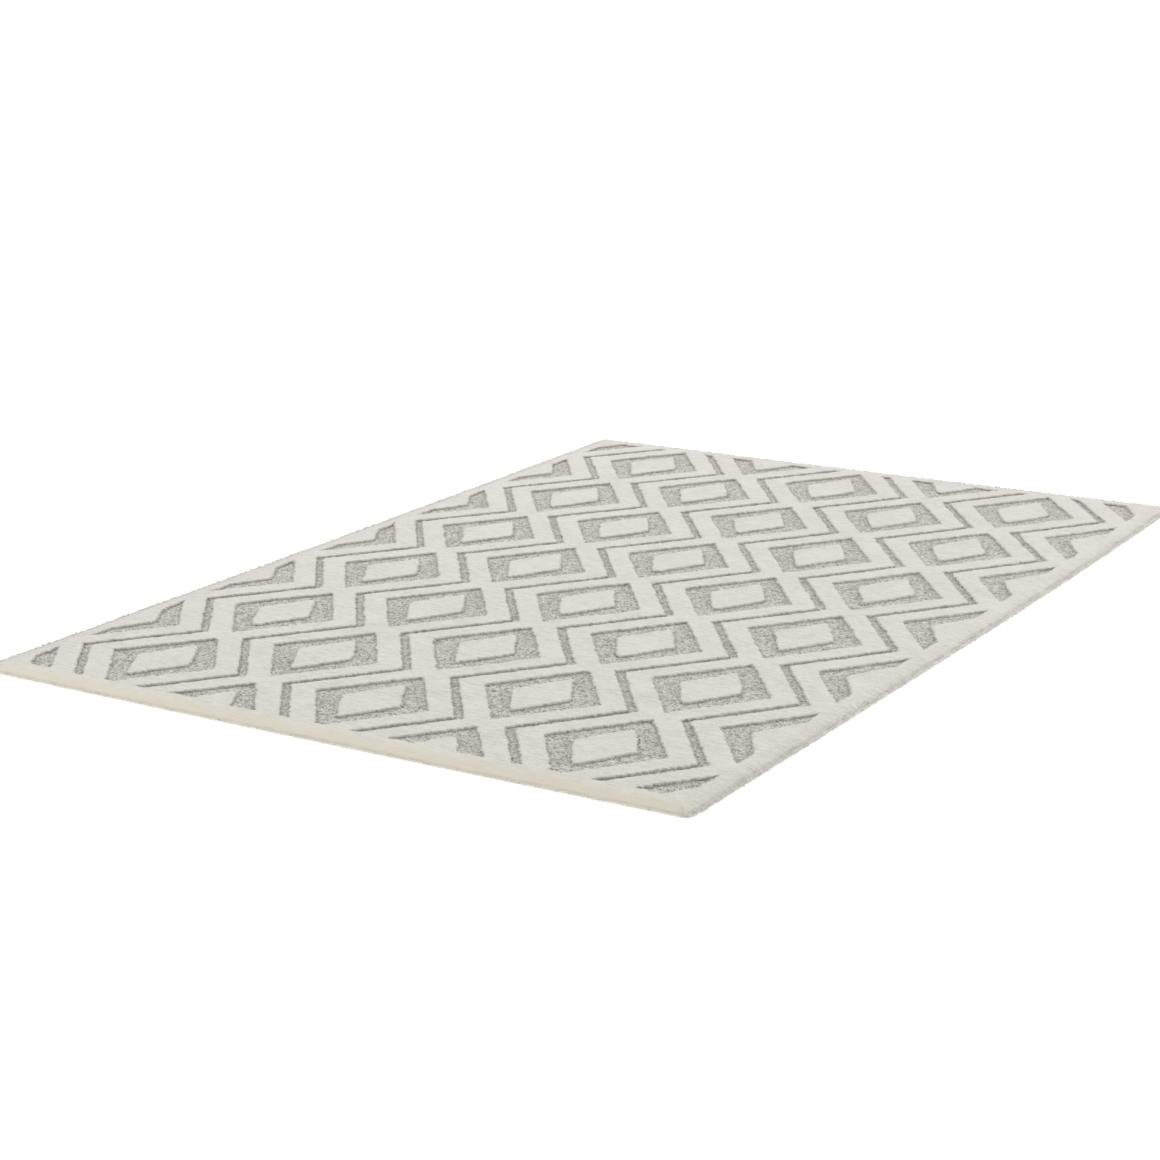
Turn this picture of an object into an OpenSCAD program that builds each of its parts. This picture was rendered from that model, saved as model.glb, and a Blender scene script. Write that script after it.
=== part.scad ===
// Woven area rug with a relief pattern: raised cream pile around sunken grey pile.
// Millimetres. X runs across the rug, Y along it, +Z up. The origin is the middle of the
// underside, at floor level. The pile stands in one woven ground cloth, so nothing is jointed.
// The pattern is a lattice of columns: each cream chain links a column of diamonds, each
// diamond is a grey ring round a cream island, and a grey zigzag parts one chain from the next.

/* [Rug] */
// Width across the rug, over both side bindings
rug_w = 1600; // [1300:10:2400]
// Length along the rug
rug_l = 2300; // [1900:10:3400]

/* [Cloth] */
// Thickness of the latex coat and of the hem tapes under the cloth
coat_t = 0.8; // [0.4:0.1:1.5]
// Thickness of the woven ground cloth
cloth_t = 1.4; // [0.8:0.1:3]
// Width of the tape glued under each end
hem_w = 36; // [20:1:60]

/* [Side bindings] */
// Width of the overlocked yarn along each side
binding_w = 7; // [5:0.5:12]
// Height of the overlocked yarn
binding_h = 6; // [4.5:0.5:8]
// How far the cloth's edge is gripped inside the binding
binding_grip = 4; // [2:0.5:4.5]

/* [Pile] */
// Height of the grey pile above the floor
grey_top = 10; // [6.5:0.5:12]
// Height of the cream pile above the floor
cream_top = 15; // [12.5:0.5:22]

/* [Border] */
// Plain cream border on the left, from the rug's edge to the pattern
left_border = 40; // [30:1:90]
// Plain cream border on the right
right_border = 40; // [30:1:90]
// Plain cream border across the front end
front_border = 50; // [30:1:90]
// Plain cream border across the back end
back_border = 30; // [30:1:90]

/* [Pattern] */
// Columns of diamonds, with a half column at each side
columns = 7; // [5:2:9]
// Whole diamonds in a full column
rows = 6; // [4:1:8]
// How far the left column's centre line lies outside the pattern
left_cut = 19; // [0:1:60]
// How far the right column's centre line lies outside the pattern
right_cut = 9; // [0:1:60]
// How far the first row of half diamonds lies outside the pattern, at the front
front_cut = 34; // [0:1:60]
// The same at the back
back_cut = 16; // [0:1:60]
// Width across the rug of a grey zigzag
zigzag_w = 22; // [12:1:40]
// Width across the rug of a cream strand, beside a diamond's widest point
strand_w = 60; // [35:1:70]
// Width across the rug of the cream crossing between two diamonds
crossing_w = 90; // [50:1:100]
// Length of cream between the tips of two diamonds in a column
crossing_l = 42; // [20:1:80]
// Width across the rug of a ring's grey, at its widest point
ring_w = 63; // [30:1:75]
// Length along the rug of a ring's grey, at its tip
ring_l = 58; // [30:1:80]

/* [Hidden] */

// Colours of the yarns and the cloth
cream = [0.87, 0.85, 0.80];
grey = [0.64, 0.63, 0.61];
jute = [0.74, 0.66, 0.52];
latex = [0.83, 0.79, 0.70];
tape = [0.80, 0.77, 0.69];

// The cloth lies on the coat, and every tuft stands on the cloth
pile_foot = coat_t + cloth_t;

// Where the pile meets the bindings, and the patterned field inside the plain border
pile_left = -rug_w / 2 + binding_w;
pile_right = rug_w / 2 - binding_w;
field_left = -rug_w / 2 + left_border;
field_right = rug_w / 2 - right_border;
field_front = -rug_l / 2 + front_border;
field_back = rug_l / 2 - back_border;

// The lattice: columns are one pitch apart, and rows alternate every half pitch
column_pitch = (field_right - field_left + left_cut + right_cut) / (columns - 1);
half_row = (field_back - field_front + front_cut + back_cut) / (2 * rows);
zigzag_swing = (column_pitch - crossing_w - zigzag_w) / 2;

// Half width and half length of a ring's outside, and of the island within it
ring_half_w = column_pitch / 2 + zigzag_swing - zigzag_w / 2 - strand_w;
ring_half_l = half_row - crossing_l / 2;
island_half_w = ring_half_w - ring_w;
island_half_l = ring_half_l - ring_l;

// How far a cutting shape runs past what it cuts
spare = 10;

// A piece's name with its column number
function numbered(name, c) = str(name, "_", c);

// Centre line of column c, and the level of row j, counted from the front left corner
function column_x(c) = field_left - left_cut + (c - 1) * column_pitch;
function row_y(j) = field_front - front_cut + j * half_row;

// Rows where column c has a diamond: neighbouring columns are staggered by half a pitch
function has_diamond(c, j) = (c + j) % 2 == 1;
function diamond_rows(c) = [for (j = [0 : 2 * rows]) if (has_diamond(c, j)) j];

// The zigzag right of column c swings away from that column's diamonds. Its centre line is
// moved by `shift` across the rug, and runs past both ends of the field.
function zigzag_x(c, j) = column_x(c) + column_pitch / 2
    + (has_diamond(c, j) ? zigzag_swing : -zigzag_swing);
function zigzag_line(c, shift) = [
    for (j = [-1 : 2 * rows + 1]) [zigzag_x(c, j) + shift, row_y(j)]
];
function backwards(points) = [for (i = [len(points) - 1 : -1 : 0]) points[i]];

// Rectangle between two corners
module rectangle(low, high) {
    translate(low)
        square(high - low);
}

module field() {
    rectangle([field_left, field_front], [field_right, field_back]);
}

// One row of diamonds, as the columns of tufts lie: widest across, pointed along the rug
module diamonds(c, half_w, half_l) {
    for (j = diamond_rows(c))
        translate([column_x(c), row_y(j)])
            polygon([[-half_w, 0], [0, -half_l], [half_w, 0], [0, half_l]]);
}

module zigzag_band(c) {
    polygon(concat(zigzag_line(c, -zigzag_w / 2), backwards(zigzag_line(c, zigzag_w / 2))));
}

// The strip of the field between the zigzags on both sides of column c. The first and last
// columns have the field's own edge on their outer side.
module column_strip(c) {
    left = c == 1
        ? [[field_left - spare, row_y(-1)], [field_left - spare, row_y(2 * rows + 1)]]
        : zigzag_line(c - 1, zigzag_w / 2);
    right = c == columns
        ? [[field_right + spare, row_y(-1)], [field_right + spare, row_y(2 * rows + 1)]]
        : zigzag_line(c, -zigzag_w / 2);
    intersection() {
        field();
        polygon(concat(left, backwards(right)));
    }
}

// Pile of one height over a plan
module pile(top) {
    translate([0, 0, pile_foot])
        linear_extrude(top - pile_foot)
            children();
}

// A slab from x_low to x_high and y_low to y_high, of a given height above z_low
module slab(low, high, height) {
    translate(low)
        cube([high.x - low.x, high.y - low.y, height]);
}

module ground_weave() {
    half_w = rug_w / 2 - binding_w + binding_grip;
    color(jute)
        slab([-half_w, -rug_l / 2, coat_t], [half_w, rug_l / 2], cloth_t);
}

module back_coating() {
    half_l = rug_l / 2 - hem_w;
    color(latex)
        slab([pile_left, -half_l, 0], [pile_right, half_l], coat_t);
}

module front_hem_tape() {
    color(tape)
        slab([pile_left, -rug_l / 2, 0], [pile_right, -rug_l / 2 + hem_w], coat_t);
}

module back_hem_tape() {
    color(tape)
        slab([pile_left, rug_l / 2 - hem_w, 0], [pile_right, rug_l / 2], coat_t);
}

// Section of the left binding: a bar with a round outer side, and a slot that grips the cloth
module binding_section() {
    r = binding_h / 2;
    difference() {
        union() {
            translate([-rug_w / 2 + r, r])
                circle(r, $fn = 48);
            rectangle([-rug_w / 2 + r, 0], [pile_left, binding_h]);
        }
        rectangle([pile_left - binding_grip, coat_t], [pile_left + spare, pile_foot]);
    }
}

module side_binding() {
    color(cream)
        translate([0, rug_l / 2, 0])
            rotate([90, 0, 0])
                linear_extrude(rug_l)
                    binding_section();
}

module left_side_binding() {
    side_binding();
}

module right_side_binding() {
    mirror([1, 0, 0])
        side_binding();
}

// The border runs in four straight strips. Half diamonds that an edge cuts through have
// their islands joined to the strip there.
module cut_islands(c) {
    intersection() {
        field();
        diamonds(c, island_half_w, island_half_l);
    }
}

module front_border_pile() {
    color(cream)
        pile(cream_top)
            rectangle([pile_left, -rug_l / 2], [pile_right, field_front]);
}

module back_border_pile() {
    color(cream)
        pile(cream_top)
            rectangle([pile_left, field_back], [pile_right, rug_l / 2]);
}

module left_border_pile() {
    color(cream)
        pile(cream_top) {
            rectangle([pile_left, field_front], [field_left, field_back]);
            cut_islands(1);
        }
}

module right_border_pile() {
    color(cream)
        pile(cream_top) {
            rectangle([field_right, field_front], [pile_right, field_back]);
            cut_islands(columns);
        }
}

// Cream strands on both sides of a column's diamonds, joined between them
module cream_chain(c) {
    color(cream)
        pile(cream_top)
            difference() {
                column_strip(c);
                diamonds(c, ring_half_w, ring_half_l);
            }
}

// Cream centres of a column's diamonds
module cream_islands(c) {
    color(cream)
        pile(cream_top)
            cut_islands(c);
}

// Sunken grey rings round a column's islands
module grey_rings(c) {
    color(grey)
        pile(grey_top)
            intersection() {
                field();
                difference() {
                    diamonds(c, ring_half_w, ring_half_l);
                    diamonds(c, island_half_w, island_half_l);
                }
            }
}

// Sunken grey line between column c and the next
module grey_zigzag(c) {
    color(grey)
        pile(grey_top)
            intersection() {
                field();
                zigzag_band(c);
            }
}

ground_weave();
back_coating();
front_hem_tape();
back_hem_tape();
left_side_binding();
right_side_binding();
front_border_pile();
back_border_pile();
left_border_pile();
right_border_pile();
for (c = [1 : columns])
    cream_chain(c);
for (c = [2 : columns - 1])
    cream_islands(c);
for (c = [1 : columns])
    grey_rings(c);
for (c = [1 : columns - 1])
    grey_zigzag(c);
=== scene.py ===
"""Woven area rug: raised cream pile round sunken grey pile, on a woven cloth with bound edges.

Lengths are in metres. X runs across the rug, Y along it and Z up. Every size and place that the
frame holds is read from it; the values written here are those of the yarn, the nap and the light.
"""

import logging
import math
from dataclasses import dataclass, field
from enum import Enum, IntEnum
from typing import Any, ClassVar, Protocol, Sequence, Union

import bmesh
import bpy
import numpy as np
from mathutils import Matrix, Vector


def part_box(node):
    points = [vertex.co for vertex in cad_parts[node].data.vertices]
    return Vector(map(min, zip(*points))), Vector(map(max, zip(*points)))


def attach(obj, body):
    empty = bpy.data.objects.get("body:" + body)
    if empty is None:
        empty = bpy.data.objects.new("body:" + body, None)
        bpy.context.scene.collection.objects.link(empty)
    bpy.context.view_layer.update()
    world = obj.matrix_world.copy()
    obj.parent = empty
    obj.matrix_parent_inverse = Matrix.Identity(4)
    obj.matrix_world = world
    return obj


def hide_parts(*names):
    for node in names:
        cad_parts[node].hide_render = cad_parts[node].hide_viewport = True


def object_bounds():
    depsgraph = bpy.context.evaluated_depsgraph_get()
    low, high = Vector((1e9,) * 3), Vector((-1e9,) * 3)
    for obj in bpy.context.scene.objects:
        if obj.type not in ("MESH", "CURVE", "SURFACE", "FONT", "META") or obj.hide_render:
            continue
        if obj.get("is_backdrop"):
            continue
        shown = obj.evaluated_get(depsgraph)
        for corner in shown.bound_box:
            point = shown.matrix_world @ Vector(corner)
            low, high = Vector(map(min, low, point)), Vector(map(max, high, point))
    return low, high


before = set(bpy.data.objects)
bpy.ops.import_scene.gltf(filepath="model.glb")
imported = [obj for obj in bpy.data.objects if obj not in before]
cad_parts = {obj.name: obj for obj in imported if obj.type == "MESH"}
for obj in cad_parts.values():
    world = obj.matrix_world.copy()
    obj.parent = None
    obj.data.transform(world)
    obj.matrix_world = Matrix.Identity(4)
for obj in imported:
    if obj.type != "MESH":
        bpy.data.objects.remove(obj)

LOG = logging.getLogger("rug")
BODY = "root"
MM = 0.001

EVEN = (1.0, 1.0, 1.0)

Array = np.ndarray
Colour = tuple[float, float, float]


class Slot(Enum):
    """The record's material slots."""

    CREAM = "cream_pile"
    GREY = "grey_pile"
    CLOTH = "ground_cloth"
    COAT = "latex_coat"
    TAPE = "hem_tape"
    BINDING = "binding_yarn"


class Seed(IntEnum):
    """Which random numbers each kind of chance draws."""

    TUFT_ROWS = 5
    SWELLS = 6
    TUFTS = 7
    LUMPS = 11
    HILLS = 12
    CREAM_TIPS = 13
    GREY_TIPS = 14
    KNOTS = 15
    COMBED = 16
    # Patches where the painted shade beside the lines is weaker.
    SHADE_PATCHES = 17
    TURNED_SIDE = 18
    HEM = 21
    BINDING = 41
    SPECKS = 51


# ---------------------------------------------------------------- shader graphs


class Socket:
    """An output socket in a node tree, on which arithmetic adds Math nodes."""

    def __init__(self, graph: "Graph", output: bpy.types.NodeSocket) -> None:
        """Wraps one output of a node in a graph."""
        self.graph = graph
        self.output = output

    def __add__(self, other: "Value") -> "Socket":
        """Sum."""
        return self.graph.math("ADD", self, other)

    def __sub__(self, other: "Value") -> "Socket":
        """Difference."""
        return self.graph.math("SUBTRACT", self, other)

    def __rsub__(self, other: "Value") -> "Socket":
        """Difference from a number."""
        return self.graph.math("SUBTRACT", other, self)

    def __mul__(self, other: "Value") -> "Socket":
        """Product."""
        return self.graph.math("MULTIPLY", self, other)

    __radd__ = __add__
    __rmul__ = __mul__


Value = Union[Socket, float]


class Graph:
    """A material and its node tree."""

    def __init__(self, name: str) -> None:
        """Makes an empty material.

        Args:
            name: The material's name.
        """
        self.material = bpy.data.materials.new(name)
        self.material.use_nodes = True
        self.tree = self.material.node_tree
        self.tree.nodes.clear()
        self.place = self.node("ShaderNodeTexCoord").outputs["Object"]

    def node(
        self, kind: str, settings: dict[str, Any] | None = None, **inputs: Any
    ) -> bpy.types.Node:
        """Adds one node.

        Args:
            kind: The node's type.
            settings: Its own settings, set before its sockets.
            **inputs: A value or a link for each socket, by name with _ for a space, or by
                number as i0, i1 and so on.

        Returns:
            The node.
        """
        made = self.tree.nodes.new(kind)
        for key, value in (settings or {}).items():
            setattr(made, key, value)
        for key, value in inputs.items():
            numbered = key[0] == "i" and key[1:].isdigit()
            target = made.inputs[int(key[1:])] if numbered else made.inputs[key.replace("_", " ")]
            self.feed(target, value)
        return made

    def feed(self, target: bpy.types.NodeSocket, value: Any) -> None:
        """Links or sets one input.

        Args:
            target: The input socket.
            value: A Socket, a node's output, or a plain value.
        """
        if isinstance(value, Socket):
            self.tree.links.new(value.output, target)
        elif isinstance(value, bpy.types.NodeSocket):
            self.tree.links.new(value, target)
        else:
            target.default_value = value

    def math(self, operation: str, a: Value, b: Value = 0.0) -> Socket:
        """One Math node."""
        made = self.node("ShaderNodeMath", {"operation": operation}, i0=a, i1=b)
        return Socket(self, made.outputs[0])

    def ramp(
        self, value: Value, low: float, high: float, to: tuple[float, float] = (0.0, 1.0)
    ) -> Socket:
        """Maps a range smoothly on to another, clamped at both ends.

        Args:
            value: What is mapped.
            low: Where the range starts.
            high: Where it ends.
            to: What the two ends become.

        Returns:
            The mapped value.
        """
        made = self.node(
            "ShaderNodeMapRange",
            {"interpolation_type": "SMOOTHSTEP"},
            Value=value,
            From_Min=low,
            From_Max=high,
            To_Min=to[0],
            To_Max=to[1],
        )
        return Socket(self, made.outputs["Result"])

    def stretch(self, scale: Sequence[float]) -> bpy.types.NodeSocket:
        """The Object coordinates, scaled along each axis."""
        settings = {"vector_type": "POINT"}
        return self.node("ShaderNodeMapping", settings, Vector=self.place, Scale=scale).outputs[0]

    def noise(self, scale: float, stretch: Sequence[float], detail: float = 2.0) -> Socket:
        """Soft noise.

        Args:
            scale: Features in a metre.
            stretch: How the coordinates are stretched along each axis.
            detail: How many finer layers are added.

        Returns:
            The noise, from 0 to 1.
        """
        place = self.stretch(stretch)
        made = self.node("ShaderNodeTexNoise", Vector=place, Scale=scale, Detail=detail)
        return Socket(self, made.outputs["Fac"])

    def cells(
        self, size: float, stretch: Sequence[float], chance: float = 1.0
    ) -> tuple[Socket, Socket]:
        """Cells such as tufts.

        Args:
            size: How wide a cell is.
            stretch: How the coordinates are stretched along each axis.
            chance: From 0 for a square lattice to 1 for scattered cells.

        Returns:
            The distance from the cell's centre, and a random number for each cell.
        """
        made = self.node(
            "ShaderNodeTexVoronoi",
            Vector=self.stretch(stretch),
            Scale=1 / size,
            Randomness=chance,
        )
        split = self.node("ShaderNodeSeparateColor", Color=made.outputs["Color"])
        return Socket(self, made.outputs["Distance"]), Socket(self, split.outputs[0])

    def wave(self, axis: str, pitch: float) -> Socket:
        """Waves from 0 to 1 along an axis, one in every pitch."""
        return self.math("SINE", self.axis(axis) * (2 * math.pi / pitch)) * 0.5 + 0.5

    def axis(self, name: str) -> Socket:
        """One of the Object coordinates: X, Y or Z."""
        made = self.node("ShaderNodeSeparateXYZ", Vector=self.place)
        return Socket(self, made.outputs[name])

    def attribute(self, name: str) -> Socket:
        """A number that the piece's mesh carries."""
        made = self.node("ShaderNodeAttribute", {"attribute_name": name})
        return Socket(self, made.outputs["Fac"])

    def blend(self, factor: Value, first: Any, second: Any) -> bpy.types.NodeSocket:
        """Mixes two colours.

        Args:
            factor: From 0 for the first to 1 for the second.
            first: A colour, or a colour output.
            second: A colour, or a colour output.

        Returns:
            The mixed colour's output.
        """
        made = self.node("ShaderNodeMix", {"data_type": "RGBA"})
        self.feed(made.inputs["Factor"], factor)
        for target, value in zip(("A", "B"), (first, second)):
            socket = [s for s in made.inputs if s.name == target and s.type == "RGBA"][0]
            self.feed(socket, (*value, 1.0) if isinstance(value, tuple) else value)
        return [s for s in made.outputs if s.type == "RGBA"][0]

    def finish(
        self, colour: Any, height: Value, depth: float, roughness: float, sheen: float = 0.0
    ) -> bpy.types.Material:
        """Joins colour and bump to the shader.

        Args:
            colour: The base colour's output.
            height: Bump height from 0 to 1.
            depth: How deep a bump of 1 is, in metres.
            roughness: The surface's roughness.
            sheen: The weight of the soft sheen of fibres.

        Returns:
            The finished material.
        """
        bump = self.node("ShaderNodeBump", Strength=1.0, Distance=depth, Height=height)
        shader = self.node(
            "ShaderNodeBsdfPrincipled",
            Base_Color=colour,
            Roughness=roughness,
            Normal=bump.outputs["Normal"],
            Specular_IOR_Level=0.15,
            Sheen_Weight=sheen,
            Sheen_Roughness=0.6,
        )
        out = self.node("ShaderNodeOutputMaterial")
        self.tree.links.new(shader.outputs["BSDF"], out.inputs["Surface"])
        return self.material


# ---------------------------------------------------------------- finishes


class Finish(Protocol):
    """What every finish can do."""

    def material(self) -> bpy.types.Material:
        """Makes the material."""


@dataclass(frozen=True)
class CreamPile:
    """Soft cut pile in cream, with a painted shade of dark brown between the tufts and beside the
    lines.
    """

    light: Colour = (0.800, 0.774, 0.706)
    dark: Colour = (0.632, 0.611, 0.552)
    # The colour of the painted shade between tufts and beside the lines.
    root: Colour = (0.170, 0.160, 0.112)
    edge: Colour = (0.796, 0.744, 0.592)
    tuft: float = 2.6 * MM

    def material(self) -> bpy.types.Material:
        """Tufts lie in rows across the rug, and each takes its own shade of cream.

        Returns:
            The material.
        """
        g = Graph("cream_pile")
        distance, shade = g.cells(self.tuft, (1.0, 1.0, 0.12), 0.8)
        rows = g.noise(260.0, (0.12, 1.0, 0.3), 3.0)
        cloud = g.noise(14.0, (0.6, 1.0, 1.0), 3.0)
        fibre = g.noise(1500.0, (1.0, 1.0, 0.1))
        tone = shade * 0.15 + rows * 0.65 + cloud * 0.2
        base = g.blend(g.ramp(tone, 0.32, 0.62), self.dark, self.light)
        warmed = g.blend(g.attribute("edge"), base, self.edge)
        # Painted shade: its attribute mixes the dark root colour into the cream.
        shaded = g.blend(g.attribute("shade_and_specks"), warmed, self.root)
        tips = g.ramp(distance, 0.0, 0.8, (1.0, 0.0))
        return g.finish(shaded, tips * 0.6 + fibre * 0.4, 0.5 * MM, 0.95, 0.25)


@dataclass(frozen=True)
class GreyPile:
    """Low pile of mixed yarns, from nearly white to dark grey, tuft by tuft. A patch of one
    yarn is as wide as `patch` tufts."""

    light: Colour = (0.770, 0.740, 0.668)
    middle: Colour = (0.510, 0.488, 0.430)
    dark: Colour = (0.190, 0.179, 0.150)
    # The colour of the painted shade beside the lines.
    root: Colour = (0.150, 0.141, 0.100)
    tuft: float = 3.0 * MM
    patch: float = 2.6

    def material(self) -> bpy.types.Material:
        """The shade of a tuft is mostly its own, and partly that of the yarn round it.

        Returns:
            The material.
        """
        g = Graph("grey_pile")
        distance, shade = g.cells(self.tuft, (1.0, 1.0, 0.2))
        _, patch = g.cells(self.patch * self.tuft, (0.8, 1.0, 0.2))
        fibre = g.noise(1300.0, (1.0, 1.0, 0.15))
        tone = shade * 0.6 + patch * 0.2 + fibre * 0.25
        low = g.blend(g.ramp(tone, 0.24, 0.5), self.dark, self.middle)
        base = g.blend(g.ramp(tone, 0.47, 0.82), low, self.light)
        # Painted shade: its attribute mixes the dark root colour into the grey.
        shaded = g.blend(g.attribute("shade_and_specks"), base, self.root)
        tips = g.ramp(distance, 0.0, 0.8, (1.0, 0.0))
        return g.finish(shaded, tips * 0.7 + fibre * 0.3, 0.9 * MM, 0.95, 0.45)


@dataclass(frozen=True)
class GroundCloth:
    """Plain weave of brown yarn."""

    light: Colour = (0.560, 0.470, 0.320)
    dark: Colour = (0.300, 0.240, 0.150)
    pitch: float = 2.5 * MM

    def material(self) -> bpy.types.Material:
        """Two crossed sets of waves, the higher of which shows.

        Returns:
            The material.
        """
        g = Graph("ground_cloth")
        across = g.wave("X", self.pitch)
        along = g.wave("Y", self.pitch)
        weave = g.math("MAXIMUM", across * (1 - along), along * (1 - across))
        tone = weave * 0.6 + g.noise(900.0, EVEN, 3.0) * 0.5
        colour = g.blend(g.ramp(tone, 0.1, 0.9), self.dark, self.light)
        return g.finish(colour, tone, 0.5 * MM, 0.9)


@dataclass(frozen=True)
class LatexCoat:
    """The woven back under thin latex, with the pile's pattern faintly through it."""

    light: Colour = (0.640, 0.590, 0.480)
    dark: Colour = (0.380, 0.340, 0.260)
    grey: Colour = (0.330, 0.310, 0.280)
    knot: float = 2.5 * MM

    def material(self) -> bpy.types.Material:
        """Rows of knots across the rug, filled by the coat.

        Returns:
            The material.
        """
        g = Graph("latex_coat")
        knots = g.wave("X", self.knot) * g.wave("Y", self.knot * 1.3)
        mottle = g.noise(120.0, EVEN, 4.0)
        cloud = g.noise(6.0, EVEN)
        tone = knots * 0.45 + mottle * 0.35 + cloud * 0.3
        plain = g.blend(g.ramp(tone, 0.15, 0.85), self.dark, self.light)
        ghost = g.attribute("grey_yarn") * g.ramp(mottle, 0.3, 0.7, (0.35, 0.75))
        return g.finish(g.blend(ghost, plain, self.grey), tone, 0.35 * MM, 0.65)


@dataclass(frozen=True)
class HemTape:
    """Flat tape in a zigzag twill."""

    light: Colour = (0.700, 0.660, 0.560)
    dark: Colour = (0.420, 0.380, 0.300)
    rib: float = 1.6 * MM
    zigzag: float = 12.0 * MM

    def material(self) -> bpy.types.Material:
        """Ribs slanted one way, then the other, in stripes along the tape.

        Returns:
            The material.
        """
        g = Graph("hem_tape")
        turn = g.math("PINGPONG", g.axis("Y"), self.zigzag / 2)
        slant = (g.axis("X") + turn) * (2 * math.pi / self.rib)
        ribs = g.math("SINE", slant) * 0.5 + 0.5
        tone = ribs * 0.6 + g.noise(700.0, EVEN, 3.0) * 0.5
        colour = g.blend(g.ramp(tone, 0.1, 0.9), self.dark, self.light)
        return g.finish(colour, tone, 0.4 * MM, 0.85)


@dataclass(frozen=True)
class BindingYarn:
    """Overlocked yarn in a warm cream."""

    light: Colour = (0.700, 0.650, 0.550)
    dark: Colour = (0.380, 0.340, 0.260)

    def material(self) -> bpy.types.Material:
        """Fine twisted fibres, with painted shade in the grooves between the turns.

        Returns:
            The material.
        """
        g = Graph("binding_yarn")
        fibre = g.noise(1100.0, (1.0, 0.5, 1.0), 3.0)
        # Painted shade in the grooves between the turns.
        tone = fibre * 0.7 + (1 - g.attribute("shade_and_specks")) * 0.5
        colour = g.blend(g.ramp(tone, 0.3, 1.0), self.dark, self.light)
        return g.finish(colour, fibre, 0.3 * MM, 0.9, 0.2)


FINISHES: dict[Slot, Finish] = {
    Slot.CREAM: CreamPile(),
    Slot.GREY: GreyPile(),
    Slot.CLOTH: GroundCloth(),
    Slot.COAT: LatexCoat(),
    Slot.TAPE: HemTape(),
    Slot.BINDING: BindingYarn(),
}


# ---------------------------------------------------------------- meshes


@dataclass(frozen=True)
class Lie:
    """How the rug lies: woven cloth is never quite square, and every piece follows it.

    With u and v from -1 to 1 across and along the rug, a place moves across by
    shift (1 - u^2) - bow v^2 - max(u, 0) (pull max(v, 0)^2 - push max(-v, 0)^2), and along
    by stretch (0.7 u^2 + v^2) - slack.
    """

    half: tuple[float, float]
    shift: float = 4.0 * MM
    bow: float = 6.0 * MM
    pull: float = 12.0 * MM
    push: float = 2.5 * MM
    stretch: float = 7.0 * MM
    slack: float = 8.0 * MM

    def moved(self, points: Array) -> Array:
        """The points, moved to where they lie.

        Args:
            points: Places as rows of x, y and z.

        Returns:
            The moved places.
        """
        u, v = points[:, 0] / self.half[0], points[:, 1] / self.half[1]
        far, near = np.clip(v, 0, None) ** 2, np.clip(-v, 0, None) ** 2
        corner = np.clip(u, 0, None) * (self.pull * far - self.push * near)
        across = self.shift * (1 - u**2) - self.bow * v**2 - corner
        along = self.stretch * (0.7 * u**2 + v**2) - self.slack
        return points + np.stack([across, along, np.zeros(len(points))], 1)


@dataclass
class Surface:
    """A mesh as arrays of points and faces, with a normal and some numbers for each point."""

    lie: ClassVar[Lie | None] = None

    points: Array
    faces: Array
    normals: Array | None = None
    numbers: dict[str, Array] = field(default_factory=dict)

    def put(self, name: str) -> bpy.types.Object:
        """Makes the mesh and its object, at the origin.

        Args:
            name: The object's name.

        Returns:
            The object.
        """
        mesh = bpy.data.meshes.new(name)
        sides = self.faces.shape[1]
        mesh.vertices.add(len(self.points))
        placed = self.lie.moved(self.points) if self.lie else self.points
        mesh.vertices.foreach_set("co", placed.astype(np.float32).ravel())
        mesh.loops.add(self.faces.size)
        mesh.loops.foreach_set("vertex_index", self.faces.astype(np.int32).ravel())
        mesh.polygons.add(len(self.faces))
        mesh.polygons.foreach_set("loop_start", np.arange(len(self.faces), dtype=np.int32) * sides)
        mesh.update(calc_edges=True)
        for key, values in self.numbers.items():
            layer = mesh.attributes.new(key, "FLOAT", "POINT")
            layer.data.foreach_set("value", values.astype(np.float32))
        mesh.shade_smooth()
        made = bpy.data.objects.new(name, mesh)
        bpy.context.scene.collection.objects.link(made)
        return made


class Piece:
    """What every finished piece of the rug needs said about it."""

    materials: ClassVar[dict[Slot, bpy.types.Material]] = {}

    @classmethod
    def dress(cls, made: bpy.types.Object, slot: Slot, *nodes: str) -> bpy.types.Object:
        """Gives a piece its material, its body and its CAD nodes.

        Args:
            made: The piece.
            slot: The slot that its finish comes from.
            *nodes: The CAD nodes that it stands for.

        Returns:
            The piece.
        """
        if slot not in cls.materials:
            cls.materials[slot] = FINISHES[slot].material()
        made.data.materials.append(cls.materials[slot])
        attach(made, BODY)
        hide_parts(*nodes)
        LOG.info("%s: %d faces", made.name, len(made.data.polygons))
        return made


def ripple(x: Array, y: Array, cell: float, seed: Seed) -> Array:
    """Smooth noise from -1 to 1.

    Random heights stand on a square lattice, and between four of them the height is blended
    by the S-curve 3t^2 - 2t^3 across and along.

    Args:
        x: Places across the rug.
        y: Places along the rug.
        cell: The lattice's spacing.
        seed: Which noise it is.

    Returns:
        The noise at each place.
    """
    u, v = (x - x.min()) / cell, (y - y.min()) / cell
    i, j = np.floor(u).astype(int), np.floor(v).astype(int)
    heights = np.random.default_rng(seed).uniform(-1, 1, (i.max() + 2, j.max() + 2))
    s, t = (w * w * (3 - 2 * w) for w in (u - i, v - j))
    near = heights[i, j] * (1 - s) + heights[i + 1, j] * s
    far = heights[i, j + 1] * (1 - s) + heights[i + 1, j + 1] * s
    return near * (1 - t) + far * t


@dataclass(frozen=True)
class Bumps:
    """Smooth noise of one spacing and one height, `drawn` times as long across the rug."""

    spacing: float
    height: float
    seed: Seed
    drawn: float = 1.0

    def over(self, x: Array, y: Array) -> Array:
        """The noise at each place, between the height and its negative."""
        return ripple(x / self.drawn, y, self.spacing, self.seed) * self.height


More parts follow.
